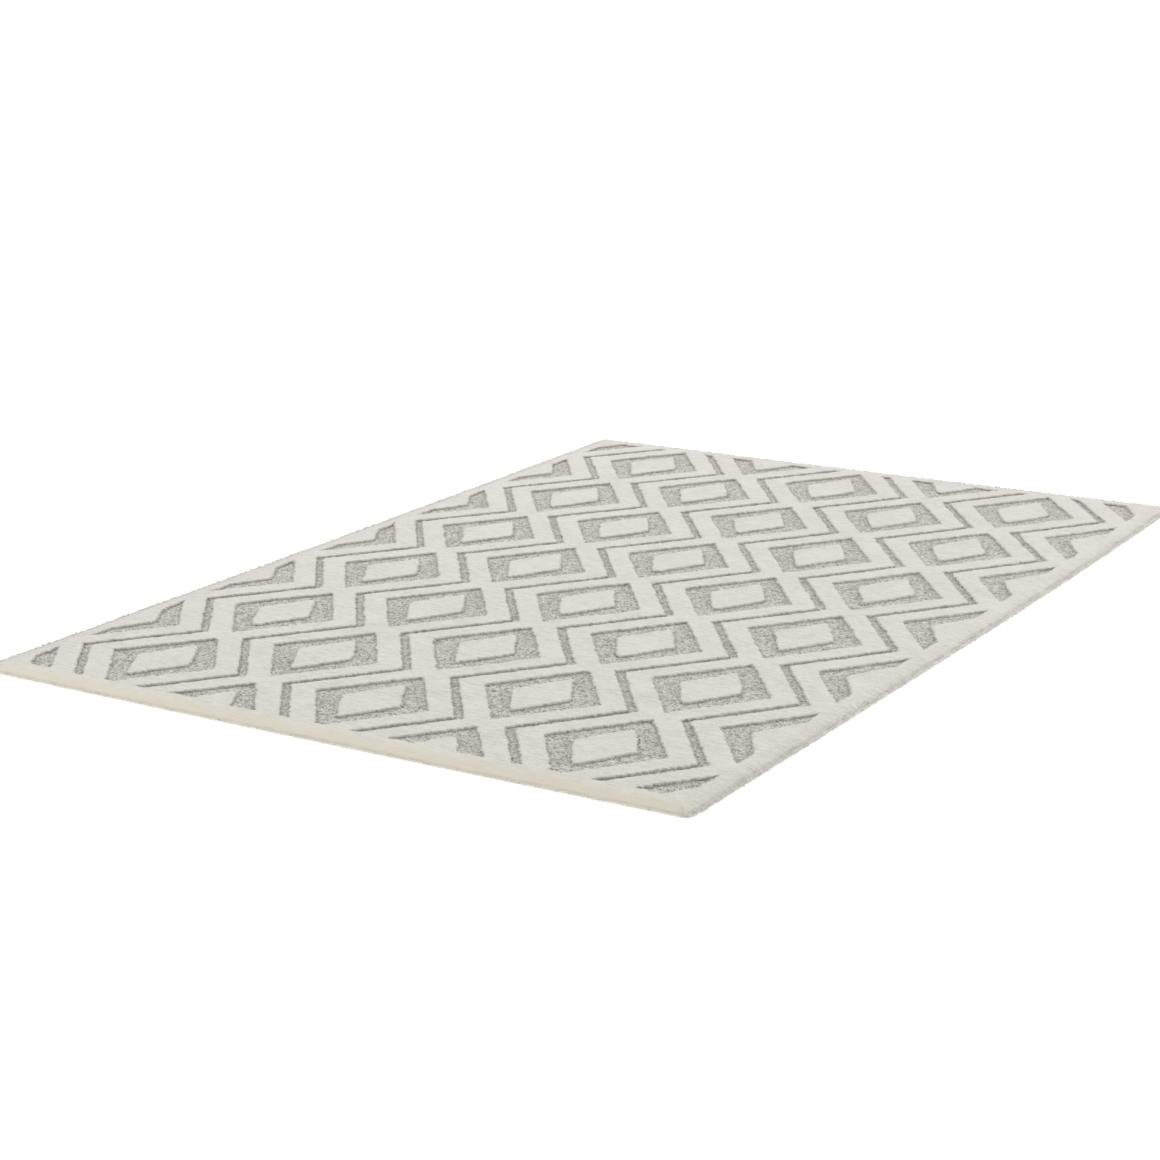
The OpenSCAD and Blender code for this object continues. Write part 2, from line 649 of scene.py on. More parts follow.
@dataclass
class Wisps:
    """Loose ends of pile: slim closed spikes of four triangles each."""

    seed: int
    top: float
    points: list[Array] = field(default_factory=list)
    normals: list[Array] = field(default_factory=list)
    numbers: list[Array] = field(default_factory=list)

    def __post_init__(self) -> None:
        """Starts the random numbers."""
        self.random = np.random.default_rng(self.seed)

    def add(
        self, roots: Array, ways: Array, length: Array, width: float, faces: Array, shade_and_specks: Array,
        edge: Array,
    ) -> None:
        """Adds one spike at each root.

        A spike's base is a small triangle across its way w: two corners to the sides, along
        s = (wy, -wx, 0), and one on s x w. Its tip is the length away along w.

        Args:
            roots: Where the spikes start.
            ways: Unit directions that they point.
            length: How long each is.
            width: How wide each base is.
            faces: The normals of the surface that they grow on.
            shade_and_specks: How much painted shade each takes.
            edge: How warm each is.
        """
        side = np.stack([ways[:, 1], -ways[:, 0], np.zeros(len(ways))], 1)
        side /= np.maximum(np.linalg.norm(side, axis=1, keepdims=True), 1e-6)
        up = np.cross(side, ways)
        tip = roots + ways * length[:, None]
        tip[:, 2] = np.clip(tip[:, 2], 0.3 * MM, self.top)
        half = width / 2
        made = np.stack([roots - side * half, roots + side * half, roots + up * half, tip], 1)
        lean = faces + self.random.normal(0, 0.45, faces.shape)
        lean /= np.linalg.norm(lean, axis=1, keepdims=True)
        self.points.append(made.reshape(-1, 3))
        self.normals.append(np.repeat(lean, 4, 0))
        self.numbers.append(np.repeat(np.stack([edge, shade_and_specks], 1), 4, 0))

    def gathered(self, start: int) -> tuple[Array, Array, Array, Array, Array]:
        """Everything that was added.

        Args:
            start: The number of the first point.

        Returns:
            Points, their normals, edge numbers, numbers of painted shade, and faces.
        """
        points, normals = np.vstack(self.points), np.vstack(self.normals)
        numbers = np.vstack(self.numbers)
        first = start + 4 * np.arange(len(points) // 4)[:, None, None]
        four = np.array([[0, 1, 2], [1, 0, 3], [2, 1, 3], [0, 2, 3]])
        return points, normals, numbers[:, 0], numbers[:, 1], (first + four).reshape(-1, 3)


# ---------------------------------------------------------------- the pattern


@dataclass(frozen=True)
class Lattice:
    """Where the cream and the grey pile lie, as read off the frame's own solids.

    Columns of diamonds stand one pitch apart, and their rows alternate every half row. Each
    diamond is a grey ring round a cream island, and a grey zigzag parts two columns.
    """

    columns: int
    first_x: float
    pitch: float
    first_y: float
    half_row: float
    ring: tuple[float, float]
    island: tuple[float, float]
    swing: float
    zigzag_w: float
    low: tuple[float, float]
    high: tuple[float, float]
    island_blunt: float = 4.5 * MM
    ring_blunt: float = 3.0 * MM

    @classmethod
    def from_frame(cls) -> "Lattice":
        """Measures the lattice on the middle column and its neighbours.

        Returns:
            The lattice.
        """
        columns = sum(name.startswith("grey_rings_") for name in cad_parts)
        middle = (columns + 1) // 2
        island_low, island_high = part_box(f"cream_islands_{middle}")
        beside_low, beside_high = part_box(f"cream_islands_{middle - 1}")
        ring_low, ring_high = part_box(f"grey_rings_{middle}")
        band_low, band_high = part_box(f"grey_zigzag_{middle}")
        chain_low, chain_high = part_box(f"cream_chain_{middle}")
        centre_x = (island_low.x + island_high.x) / 2
        pitch = centre_x - (beside_low.x + beside_high.x) / 2
        tips = cls.tips(f"cream_islands_{middle}", centre_x)
        ring_tips = cls.tips(f"grey_rings_{middle}", centre_x)
        half_row = (tips[2] - tips[0]) / 2
        row = (tips[0] + tips[1]) / 2
        ring_tip = ring_tips[ring_tips > tips[1] + MM].min()
        band_w = band_high.x - band_low.x
        chain_w = chain_high.x - chain_low.x
        return cls(
            columns=columns,
            first_x=centre_x - (middle - 1) * pitch,
            pitch=pitch,
            first_y=row - half_row,
            half_row=half_row,
            ring=((ring_high.x - ring_low.x) / 2, ring_tip - row),
            island=((island_high.x - island_low.x) / 2, (tips[1] - tips[0]) / 2),
            swing=(band_w + chain_w - pitch) / 4,
            zigzag_w=(band_w - chain_w + pitch) / 2,
            low=(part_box("cream_chain_1")[0].x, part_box("front_border_pile")[1].y),
            high=(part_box(f"cream_chain_{columns}")[1].x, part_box("back_border_pile")[0].y),
        )

    @staticmethod
    def tips(node: str, x: float) -> Array:
        """Where a node's outline crosses a line that runs along the rug.

        Args:
            node: The CAD node.
            x: Where the line is.

        Returns:
            Each crossing once, from front to back.
        """
        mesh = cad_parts[node].data
        points = np.zeros(len(mesh.vertices) * 3)
        mesh.vertices.foreach_get("co", points)
        points = points.reshape(-1, 3)
        return np.unique(points[np.abs(points[:, 0] - x) < 0.1 * MM, 1].round(5))

    def column_x(self, column: int) -> float:
        """Centre line of a column, counted from 1."""
        return self.first_x + (column - 1) * self.pitch

    def off_row(self, column: int, y: Array) -> Array:
        """Distance along the rug from the nearest diamond of a column.

        Args:
            column: The column.
            y: Places along the rug.

        Returns:
            The distance at each place.
        """
        start = self.first_y + ((column + 1) % 2) * self.half_row
        turns = (y - start) / (2 * self.half_row)
        return np.abs(turns - np.round(turns)) * 2 * self.half_row

    def zigzag_x(self, column: int, y: Array) -> Array:
        """Centre line of the zigzag right of a column: it swings away from its diamonds."""
        phase = self.off_row(column, y) / self.half_row
        return self.column_x(column) + self.pitch / 2 + self.swing * (1 - 2 * phase)

    @staticmethod
    def inside(half: tuple[float, float], dx: Array, dy: Array, blunt: float = 0.0) -> Array:
        """How far inside a rhombus a place is, square to the nearest side.

        Near a corner the distances are blunted to sqrt(d^2 + blunt^2), which rounds it.

        Args:
            half: The rhombus's half diagonals across and along the rug.
            dx: Distances across the rug from its centre.
            dy: Distances along the rug from its centre.
            blunt: How round the corners are.

        Returns:
            The depth of each place, which is below zero outside.
        """
        across, along = half
        off = np.sqrt(dx**2 + blunt**2) / across + np.sqrt(dy**2 + blunt**2) / along
        return (1 - off) * across * along / math.hypot(across, along)

    def cream(self, x: Array, y: Array) -> Array:
        """Distance into the cream pile, and below zero into the grey.

        Grey is what is inside a ring's outer rhombus and outside its island, or within half
        a zigzag's width of its centre line, and inside the patterned field.

        Args:
            x: Places across the rug.
            y: Places along the rug.

        Returns:
            The signed distance at each place.
        """
        grey = np.full(np.shape(x), -1.0)
        lean = self.half_row / math.hypot(self.half_row, 2 * self.swing)
        for column in range(1, self.columns + 1):
            dx, dy = np.abs(x - self.column_x(column)), self.off_row(column, y)
            hole = self.inside(self.island, dx, dy, self.island_blunt)
            ring = self.inside(self.ring, dx, dy, self.ring_blunt)
            grey = np.maximum(grey, np.minimum(ring, -hole))
            if column < self.columns:
                off = np.abs(x - self.zigzag_x(column, y))
                grey = np.maximum(grey, (self.zigzag_w / 2 - off) * lean)
        across = np.minimum(x - self.low[0], self.high[0] - x)
        along = np.minimum(y - self.low[1], self.high[1] - y)
        return -np.minimum(grey, np.minimum(across, along))

    def regions(self, x: Array, y: Array, is_cream: Array) -> dict[str, Array]:
        """Which places belong to which piece of pile.

        A place's column is one more than the zigzags left of it. Cream within a rhombus
        halfway between ring and island is an island, which the outer columns' border takes.

        Args:
            x: Places across the rug.
            y: Places along the rug.
            is_cream: Whether each place has cream pile.

        Returns:
            A mask of the places for each CAD node.
        """
        zigzags = range(1, self.columns)
        column = 1 + sum((x > self.zigzag_x(c, y)).astype(int) for c in zigzags)
        halfway = tuple((a + b) / 2 for a, b in zip(self.ring, self.island))
        beyond = tuple(a + self.zigzag_w for a in self.ring)
        island, ring = np.zeros(x.shape, bool), np.zeros(x.shape, bool)
        for c in range(1, self.columns + 1):
            dx, dy = np.abs(x - self.column_x(c)), self.off_row(c, y)
            island |= (self.inside(halfway, dx, dy) > 0) & is_cream
            ring |= (self.inside(beyond, dx, dy) > 0) & ~is_cream
        front, back = is_cream & (y < self.low[1]), is_cream & (y > self.high[1])
        between = is_cream & ~front & ~back
        left = between & ((x < self.low[0]) | (island & (column == 1)))
        right = between & ((x > self.high[0]) | (island & (column == self.columns)))
        inner = between & ~left & ~right
        found = {
            "front_border_pile": front,
            "back_border_pile": back,
            "left_border_pile": left,
            "right_border_pile": right,
        }
        for c in range(1, self.columns + 1):
            found[f"cream_chain_{c}"] = inner & ~island & (column == c)
            found[f"grey_rings_{c}"] = ring & (column == c)
            if 1 < c < self.columns:
                found[f"cream_islands_{c}"] = inner & island & (column == c)
        line = ~is_cream & ~ring
        for c in zigzags:
            near = np.abs(x - self.zigzag_x(c, y)) < self.zigzag_w
            found[f"grey_zigzag_{c}"] = line & near
        return found


# ---------------------------------------------------------------- the pile


@dataclass
class Shell:
    """A piece as it is put together, part by part."""

    parts: list[tuple[Array, ...]] = field(default_factory=list)

    def add(self, *part: Array) -> None:
        """Adds points, their normals, edge numbers, numbers of painted shade and specks, and faces,
        in that order.
        """
        self.parts.append(part)

    def count(self) -> int:
        """How many points there are so far."""
        return sum(len(part[0]) for part in self.parts)

    def surface(self) -> Surface:
        """All parts as one surface."""
        points, normals, edge, shade_and_specks, faces = (np.concatenate(kind) for kind in zip(*self.parts))
        return Surface(points, faces, normals, {"edge": edge, "shade_and_specks": shade_and_specks})


@dataclass
class PileField:
    """All the pile, as one net of tufts that is then parted into pieces.

    The net's points stand a tuft apart. Those near a line between cream and grey are moved
    on to it, so that the line is clean, and every triangle is all cream or all grey. Shade is
    painted beside the lines, darkest by the walls that face away from the light, which comes
    from behind on the left.

    At the rug's edge the cream rolls over: the roll starts `roll_in` inside the net's rim,
    goes `side_out` or `end_out` beyond it and `roll_drop` down, and then hangs to the `hem`.
    Each painted shade beside a line is given as pairs of a share and of how far from the line it
    fades.
    """

    lattice: Lattice
    tuft: float = 2.6 * MM
    shoulder: float = 2.5 * MM
    sunk: float = 0.3 * MM
    roll_in: float = 32.0 * MM
    side_out: float = 11.0 * MM
    end_out: float = 4.0 * MM
    roll_drop: float = 9.0 * MM
    hem: float = 1.2 * MM
    corner: float = 12.0 * MM
    warm_in: float = 54.0 * MM
    warm_most: float = 0.9
    # The way the light comes from, behind and to the left: lines are painted darker by walls that
    # face away from it.
    light_from: tuple[float, float] = (-0.5, 0.87)
    line_bumps: tuple[Bumps, ...] = (
        Bumps(3.6 * MM, 2.4 * MM, Seed.TUFT_ROWS, 3.0),
        Bumps(6.0 * MM, 1.44 * MM, Seed.TUFTS),
        Bumps(30.0 * MM, 1.4 * MM, Seed.SWELLS),
    )
    nap_bumps: tuple[Bumps, ...] = (
        Bumps(9.0 * MM, 0.20 * MM, Seed.LUMPS),
        Bumps(70.0 * MM, 0.35 * MM, Seed.HILLS),
        Bumps(4.2 * MM, 0.20 * MM, Seed.COMBED, 5.0),
    )
    grey_knots: Bumps = Bumps(5.0 * MM, 0.35 * MM, Seed.KNOTS)
    hem_bumps: Bumps = Bumps(4.0 * MM, 0.5 * MM, Seed.HEM)
    # Random patches where the painted shade beside the lines is weaker.
    shade_patches: Bumps = Bumps(6.0 * MM, 0.5, Seed.SHADE_PATCHES)
    cream_jitter: float = 0.10 * MM
    grey_jitter: float = 0.28 * MM
    # Painted shade beside the lines, for cream and grey, and where the cream turns down at a side.
    cream_line_shade: tuple[tuple[float, float], ...] = ((0.25, 0.8 * MM),)
    grey_line_shade: tuple[tuple[float, float], ...] = ((0.66, 2.0 * MM), (0.32, 7.0 * MM))
    side_shade: float = 0.11
    strand_chances: int = 12
    strand_w: float = 0.9 * MM
    strand_length: tuple[float, float] = (2.0 * MM, 12.5 * MM)
    fray_w: float = 1.9 * MM
    fray_length: tuple[float, float] = (2.5 * MM, 8.0 * MM)
    buried: float = 0.8 * MM
    stray_top: float = 2.0 * MM
    speck_gap: float = 96.0 * MM
    speck_w: float = 1.6 * MM

    def __post_init__(self) -> None:
        """Reads the levels off the frame, and makes the net."""
        low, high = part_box("front_border_pile")
        self.left, self.right, self.front = low.x, high.x, low.y
        self.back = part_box("back_border_pile")[1].y
        self.foot, self.cream_top = low.z, high.z
        self.grey_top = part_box("grey_zigzag_1")[1].z
        self.binding_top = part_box("left_side_binding")[1].z
        self.net()
        self.triangulate()
        self.levels()
        self.round_corners()

    def line(self, x: Array, y: Array) -> Array:
        """Distance into the cream, whose rows of tufts start and stop early or late."""
        return self.lattice.cream(x, y) + sum(bumps.over(x, y) for bumps in self.line_bumps)

    def net(self) -> None:
        """Lays out the points, and moves those near a line on to it along its gradient."""
        across = round((self.right - self.left) / self.tuft)
        along = round((self.back - self.front) / self.tuft)
        x, y = np.meshgrid(
            np.linspace(self.left, self.right, across + 1),
            np.linspace(self.front, self.back, along + 1),
            indexing="ij",
        )
        self.rim_x = (x == self.left) * -1.0 + (x == self.right) * 1.0
        self.rim_y = (y == self.front) * -1.0 + (y == self.back) * 1.0
        d = self.line(x, y)
        gx, gy = np.gradient(d, x[:, 0], y[0])
        reach = 0.5 * self.tuft * np.maximum(np.abs(gx), np.abs(gy)) + 1e-7
        near = np.abs(d) <= reach
        step = np.where(near, d / np.maximum(gx * gx + gy * gy, 0.25), 0.0)
        self.x, self.y = x - step * gx, y - step * gy
        self.depth = np.where(near, 0.0, d)
        length = np.maximum(np.hypot(gx, gy), 1e-6)
        self.gx, self.gy = gx / length, gy / length

    def triangulate(self) -> None:
        """Splits each square of the net in two, along a line between cream and grey if one
        crosses it, and finds which triangles are cream."""
        rows, cols = self.x.shape
        index = np.arange(rows * cols).reshape(rows, cols)
        a, b = index[:-1, :-1].ravel(), index[1:, :-1].ravel()
        c, d = index[1:, 1:].ravel(), index[:-1, 1:].ravel()
        sign = np.sign(self.depth).ravel()
        other = (sign[b] == 0) & (sign[d] == 0) & ~((sign[a] == 0) & (sign[c] == 0))
        first = np.where(other[:, None], np.stack([a, b, d], 1), np.stack([a, b, c], 1))
        second = np.where(other[:, None], np.stack([b, c, d], 1), np.stack([a, c, d], 1))
        self.triangles = np.concatenate([first, second])
        self.mid_x = self.x.ravel()[self.triangles].mean(1)
        self.mid_y = self.y.ravel()[self.triangles].mean(1)
        votes = sign[self.triangles].sum(1)
        centre = self.lattice.cream(self.mid_x, self.mid_y)
        self.is_cream = np.where(votes == 0, centre, votes) > 0

    def levels(self) -> None:
        """Heights and normals of the cream and of the grey nap over the whole net.

        The cream is level, and rounds off over each line by a quarter circle. At the rug's
        edge it rolls over. Both naps are lumpy, and combed in rows across the rug.
        """
        x, y = self.x, self.y
        lumps = sum(bumps.over(x, y) for bumps in self.nap_bumps)
        jitter = np.random.default_rng(Seed.CREAM_TIPS).normal(0, self.cream_jitter, x.shape)
        short = self.shoulder - np.clip(self.depth, 0.0, self.shoulder)
        fall = self.shoulder**2 - short**2
        drop = self.shoulder - np.sqrt(fall)
        roll = self.roll()
        self.cream_z = self.cream_top - drop - roll + lumps + jitter - self.sunk
        slope = np.clip(short / np.sqrt(np.maximum(fall, (0.3 * MM) ** 2)), 0.0, 3.0)
        smooth = self.cream_top - roll + lumps + jitter
        ux, uy = np.gradient(smooth, self.tuft, self.tuft)
        self.cream_n = self.unit(-ux - slope * self.gx, -uy - slope * self.gy)
        rough = np.random.default_rng(Seed.GREY_TIPS).normal(0, self.grey_jitter, x.shape)
        knots = self.grey_knots.over(x, y)
        self.grey_z = self.grey_top + lumps + rough + knots - 2 * self.sunk
        ux, uy = np.gradient(self.grey_z, self.tuft, self.tuft)
        self.grey_n = self.unit(-ux, -uy)

    def roll(self) -> Array:
        """How far the cream is rolled down at each point of the net.

        It is the droop times the square of a share, which grows evenly from 0 where the roll
        starts to 1 at its widest, beyond the rim.

        Returns:
            The drop at each point.
        """
        x, y = self.x, self.y
        to_side = np.minimum(x - self.left, self.right - x)
        to_end = np.minimum(y - self.front, self.back - y)
        inset = np.clip(np.minimum(to_side, to_end), 0.0, self.roll_in)
        near_end = to_end < to_side
        reach = self.roll_in + np.where(near_end, self.end_out, self.side_out)
        left, back = x - self.left < self.right - x, y - self.front > self.back - y
        away = np.where(near_end, back, 0.5 * left)
        return self.droop(away) * ((self.roll_in - inset) / reach) ** 2

    def droop(self, away: Array) -> Array:
        """How far the pile rolls down, which is less where the nap leans away over the edge."""
        return self.roll_drop * (1 - 0.6 * away)

    @staticmethod
    def unit(nx: Array, ny: Array) -> Array:
        """Unit normals, as rows, that lean by nx and ny for 1 up."""
        length = np.sqrt(nx * nx + ny * ny + 1)
        return np.stack([nx / length, ny / length, 1 / length], -1).reshape(-1, 3)

    def round_corners(self) -> None:
        """Rounds the rug's corners: squares about a corner's centre become circles. Also
        finds which way is outwards at each place on the rim."""
        mid_x, mid_y = (self.left + self.right) / 2, (self.front + self.back) / 2
        side_x, side_y = np.sign(self.x - mid_x), np.sign(self.y - mid_y)
        u = np.abs(self.x - mid_x) - ((self.right - self.left) / 2 - self.corner)
        v = np.abs(self.y - mid_y) - ((self.back - self.front) / 2 - self.corner)
        corner = (u > 0) & (v > 0)
        scale = np.where(corner, np.maximum(u, v) / np.maximum(np.hypot(u, v), 1e-9), 1.0)
        self.x = self.x + np.where(corner, (scale - 1) * u * side_x, 0.0)
        self.y = self.y + np.where(corner, (scale - 1) * v * side_y, 0.0)
        out_x = np.where(corner, u * side_x, self.rim_x)
        out_y = np.where(corner, v * side_y, self.rim_y)
        length = np.maximum(np.hypot(out_x, out_y), 1e-9)
        self.out = np.stack([out_x / length, out_y / length], -1).reshape(-1, 2)
        self.rim = ((self.rim_x != 0) | (self.rim_y != 0)).ravel()

    def skirt(self) -> tuple[Array, Array, Array]:
        """The section of the rug's rolled edge below the net's rim, from top to foot.

        It follows the parabola on outwards, hangs down to the hem, and goes back under
        itself to the pile's foot. At the sides it passes over the binding, and at the ends
        it covers the cloth's cut edge.

        Returns:
            How far out each row stands, how high, and how far its normal tilts up: each as a
            line for the sides and a line for the ends.
        """
        brow = self.cream_top - self.roll_drop - self.sunk
        hang = np.array([0.35, 0.7, 1.0])
        sections = []
        for out, flare, tuck_out, tuck_up in (
            (self.side_out, 0.14, 7.5 * MM, self.binding_top + 0.3 * MM),
            (self.end_out, -0.15, 0.8 * MM, self.foot + 0.3 * MM),
        ):
            wide = self.roll_in + out
            over = out * np.array([0.25, 0.5, 0.75, 1.0])
            share = (self.roll_in + over) / wide
            under = out * (1 + flare * hang**2)
            inner = [tuck_out + 0.5 * MM, tuck_out, 0.2 * MM]
            fall = brow + self.roll_drop * (1 - share**2)
            down = brow - (brow - self.hem) * hang
            tucked = [self.hem + 0.3 * MM, tuck_up, tuck_up + 0.2 * MM]
            slope = 2 * self.roll_drop * share / wide
            tilt = 1 / np.hypot(1, slope) * [1.0, 0.95, 0.85, 0.65]
            sections.append(np.concatenate([over, under, inner]))
            sections.append(np.concatenate([fall, down, tucked]))
            sections.append(np.append(tilt, [0.3, 0.1, 0.0, -0.9, -0.9, -0.9]))
        return tuple(np.array([sections[k], sections[k + 3]]) for k in range(3))

    def fuller(self, level: Array, out: Array) -> Array:
        """Raises the rolled edge where the nap leans out over it.

        Above the brow the parabola gets shallower, and below it the hang is stretched to meet
        the new brow.

        Args:
            level: The section's heights, point by point and row by row.
            out: Which way is outwards at each point.

        Returns:
            The raised heights.
        """
        top = self.cream_top - self.sunk
        brow = top - self.roll_drop
        full = self.droop(np.clip(out[:, 1:] - 0.5 * out[:, :1], 0, 1))
        above = top - (top - level) * full / self.roll_drop
        below = self.hem + (level - self.hem) * (top - full - self.hem) / (brow - self.hem)
        return np.where(level > brow - 0.01 * MM, above, below)

    def piece(self, name: str, chosen: Array, slot: Slot) -> bpy.types.Object:
        """Makes one closed piece of pile.

        Its top is its triangles of the net. A wall goes straight down from its outline, or
        down the rolled edge where that is the rug's rim, and a flat base closes it.

        Args:
            name: The CAD node that it stands for.
            chosen: Which triangles of the net are its own.
            slot: Cream or grey.

        Returns:
            The piece.
        """
        cream = slot is Slot.CREAM
        height, normal = (self.cream_z, self.cream_n) if cream else (self.grey_z, self.grey_n)
        used, local = np.unique(self.triangles[chosen], return_inverse=True)
        top = local.reshape(-1, 3)
        outline = self.outline(top, len(used))
        on_rim = self.rim[used[outline]].all(1) & self.same_side(used[outline])
        plain, rim = outline[~on_rim], outline[on_rim]
        tops = np.stack([grid.ravel()[used] for grid in (self.x, self.y, height)], 1)
        shell = Shell()
        shell.add(tops, normal[used], self.warmth()[used], self.shade_and_specks(used, cream), top)
        around = np.unique(outline)
        feet = np.zeros(len(used), int)
        feet[around] = len(used) + np.arange(len(around))
        walls = self.walls(plain[:, 1], plain[:, 0], feet[plain[:, 0]], feet[plain[:, 1]])
        shell.add(*self.foot_line(tops[around], used[around]), walls)
        wisps = Wisps(len(name) + len(used), self.cream_top + self.stray_top)
        if len(rim):
            shell.add(*self.rolled(rim, used, tops, shell.count(), feet, plain, wisps))
        if cream:
            self.fray(plain, used, tops, wisps)
            shell.add(*wisps.gathered(shell.count()))
        surface = shell.surface()
        made = surface.put(name)
        self.close(made)
        made.data.normals_split_custom_set_from_vertices(surface.normals)
        return Piece.dress(made, slot, name)

    @staticmethod
    def outline(top: Array, count: int) -> Array:
        """The edges that only one triangle has.

        Args:
            top: The triangles.
            count: How many points they have.

        Returns:
            Each edge as a pair of points, in its triangle's order.
        """
        edges = np.concatenate([top[:, [0, 1]], top[:, [1, 2]], top[:, [2, 0]]])
        forward = edges[:, 0] * count + edges[:, 1]
        return edges[~np.isin(forward, edges[:, 1] * count + edges[:, 0])]

    def foot_line(self, tops: Array, used: Array) -> tuple[Array, Array, Array, Array]:
        """The outline's points at the pile's foot, straight below those on top.

        Args:
            tops: The outline's points on top.
            used: The net's number of each.

        Returns:
            Points, their normals, edge numbers, and numbers of painted shade.
        """
        out = np.stack([-self.gx.ravel(), -self.gy.ravel()], 1)[used]
        on_rim = self.rim[used]
        out[on_rim] = self.out[used][on_rim]
        points = np.hstack([tops[:, :2], np.full((len(used), 1), self.foot)])
        warm = np.where(on_rim, np.clip(-out[:, 1], 0, 1), 0.0)
        # Painted shade at the walls' foot, most where a wall faces away from the light.
        dark = 0.25 + 0.75 * self.away_from_light()[used]
        return points, np.hstack([out, np.zeros((len(used), 1))]), warm, dark

    def warmth(self) -> Array:
        """How much the cream takes on the warm tone of the front end, over the net."""
        to_end = np.clip(self.y - self.front, 0, self.warm_in)
        return (self.warm_most * (1 - to_end / self.warm_in) ** 1.2).ravel()

    def same_side(self, pairs: Array) -> Array:
        """Whether both ends of each edge lie on one straight side of the net."""
        x, y = (rim.ravel()[pairs] for rim in (self.rim_x, self.rim_y))
        return ((x[:, 0] == x[:, 1]) & (x[:, 0] != 0)) | ((y[:, 0] == y[:, 1]) & (y[:, 0] != 0))

    def away_from_light(self) -> Array:
        """How much painted shade the lines take at each point of the net.

        Returns:
            1 where the cream's wall faces away from the light, and near 0 where it faces the
            light; random patches weaken it.
        """
        against = self.gx * self.light_from[0] + self.gy * self.light_from[1]
        shade_patches = 0.5 + self.shade_patches.over(self.x, self.y)
        return ((0.06 + 0.94 * np.clip(against, 0, 1) ** 2) * (0.35 + 0.65 * shade_patches)).ravel()

    def shade_and_specks(self, used: Array, cream: bool) -> Array:
        """How much painted shade each point takes on top.

        It is most beside a line whose wall faces away from the light, and fades with the distance
        from it as e^-x. The cream also takes a little painted shade where it turns down at a side.

        Args:
            used: The net's numbers of the points.
            cream: Whether they are cream or grey.

        Returns:
            The share of painted shade at each point.
        """
        depth = self.depth.ravel()[used]
        unlit = self.away_from_light()[used]
        off = np.clip(depth if cream else -depth, 0, None)
        fades = self.cream_line_shade if cream else self.grey_line_shade
        dark = unlit * sum(share * np.exp(-off / reach) for share, reach in fades)
        if not cream:
            return dark
        to_side = np.minimum(self.x - self.left, self.right - self.x).ravel()[used]
        # Painted shade where the cream turns down at a side, darker towards the rim and mottled at
        # random.
        turned_shade = self.side_shade * (1 - np.clip(to_side, 0, self.roll_in) / self.roll_in) ** 1.3
        turned_shade *= np.random.default_rng(Seed.TURNED_SIDE).uniform(0.3, 1.7, len(used))
        return turned_shade + dark

    @staticmethod
    def walls(a: Array, b: Array, b_low: Array, a_low: Array) -> Array:
        """Two triangles for each upright quad with corners a, b, and their lower ends."""
        return np.concatenate([np.stack([a, b, b_low], 1), np.stack([a, b_low, a_low], 1)])

    def fray(self, outline: Array, used: Array, tops: Array, wisps: Wisps) -> None:
        """Adds two loose ends to each edge along the lines, which lean out and droop.

        Args:
            outline: The piece's outline, as pairs of points.
            used: The net's number of each point.
            tops: Where the piece's points are.
            wisps: Where they are added.
        """
        on_line = (self.depth.ravel()[used[outline]] == 0).all(1)
        pairs = np.repeat(outline[on_line], 2, 0)
        random, count = wisps.random, len(pairs)
        t = random.uniform(0, 1, (count, 1))
        roots = tops[pairs[:, 0]] * (1 - t) + tops[pairs[:, 1]] * t
        along = tops[pairs[:, 1]] - tops[pairs[:, 0]]
        out = np.stack([along[:, 1], -along[:, 0], np.zeros(count)], 1)
        out /= np.maximum(np.linalg.norm(out, axis=1, keepdims=True), 1e-9)
        unlit = self.away_from_light()[used[pairs[:, 0]]]
        roots = roots - out * self.buried
        roots[:, 2] += random.uniform(-0.6, 0.9, count) * MM
        ways = out + random.normal(0, 0.45, (count, 3)) * [1, 1, 0.3]
        ways[:, 2] = -random.uniform(0.05, 0.75, count)
        ways /= np.linalg.norm(ways, axis=1, keepdims=True)
        length = random.uniform(*self.fray_length, count) * (1.1 - 0.45 * unlit)
        faces = out * 0.4 + np.array([0.0, 0.0, 0.9])
        # Painted shade on each loose end, partly at random and more by walls that face away from the
        # light.
        shade_and_specks = random.uniform(0.0, 0.25, count) + 0.2 * unlit * random.uniform(0, 1, count)
        wisps.add(roots, ways, length, self.fray_w, faces, shade_and_specks, np.zeros(count))

    def specks(self, x: Array, rows: int) -> Array:
        """Ends of grey yarn caught in an end hem, about one in every `speck_gap`.

        Args:
            x: Places along the hem.
            rows: How many rows the rolled edge has.

        Returns:
            How dark each place is, row by row.
        """
        places = np.arange(self.left, self.right, self.speck_gap)
        places = places + np.random.default_rng(Seed.SPECKS).uniform(-28, 28, len(places)) * MM
        spot = np.exp(-(((x[:, None] - places) / self.speck_w) ** 2)).max(1)
        across = np.exp(-(((np.arange(rows) - 4.6) / 0.8) ** 2))
        return spot[:, None] * across

